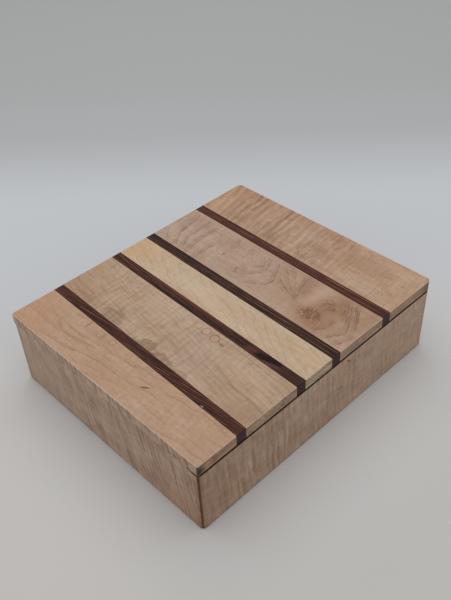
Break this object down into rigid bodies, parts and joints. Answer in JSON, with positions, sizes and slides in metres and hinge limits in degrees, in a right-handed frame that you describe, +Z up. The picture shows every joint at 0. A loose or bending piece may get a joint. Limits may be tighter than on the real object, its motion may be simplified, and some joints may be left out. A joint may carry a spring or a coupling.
{
  "type": "wooden keepsake box",
  "caption": "Low rectangular keepsake box in curly maple with rounded mitred corners and a flush hinged lid striped with dark wood, opened by a finger relief along the front.",
  "frame": {"origin": "centre of the wooden box's base, on the table; the hinges stand 3 mm behind the back, so the middle of the bounding box is 1.5 mm behind the origin", "axes": "+X right along the long front, -Y out of the front, +Z up; the lid is shut"},
  "size_m": [0.278, 0.237, 0.076],
  "materials": {
    "curly_maple": "satin oil",
    "pale_maple": "satin oil",
    "bottom_maple": "satin oil",
    "dark_strip": "satin oil",
    "hinge_brass": "polished",
    "pin_brass": "drawn"
  },
  "bodies": {
    "box": {"front_wall": "curly_maple", "back_wall": "curly_maple", "left_wall": "curly_maple", "right_wall": "curly_maple", "bottom_panel": "bottom_maple", "left_hinge_wall_leaf": "hinge_brass", "left_hinge_pin": "pin_brass", "right_hinge_wall_leaf": "hinge_brass", "right_hinge_pin": "pin_brass", "wall_leaf_screws": "hinge_brass"},
    "lid": {"lid_board_1": "curly_maple", "lid_strip_1": "dark_strip", "lid_board_2": "curly_maple", "lid_strip_2": "dark_strip", "lid_board_3": "pale_maple", "lid_strip_3": "dark_strip", "lid_board_4": "curly_maple", "lid_strip_4": "dark_strip", "lid_board_5": "curly_maple", "left_hinge_lid_leaf": "hinge_brass", "right_hinge_lid_leaf": "hinge_brass", "lid_leaf_screws": "hinge_brass"}
  },
  "joints": [
    {"name": "lid_hinge", "type": "hinge", "parent": "box", "child": "lid", "pos_m": [0, 0.1174, 0.066], "axis": [-1, 0, 0], "range_deg": [0, 95]}
  ]
}
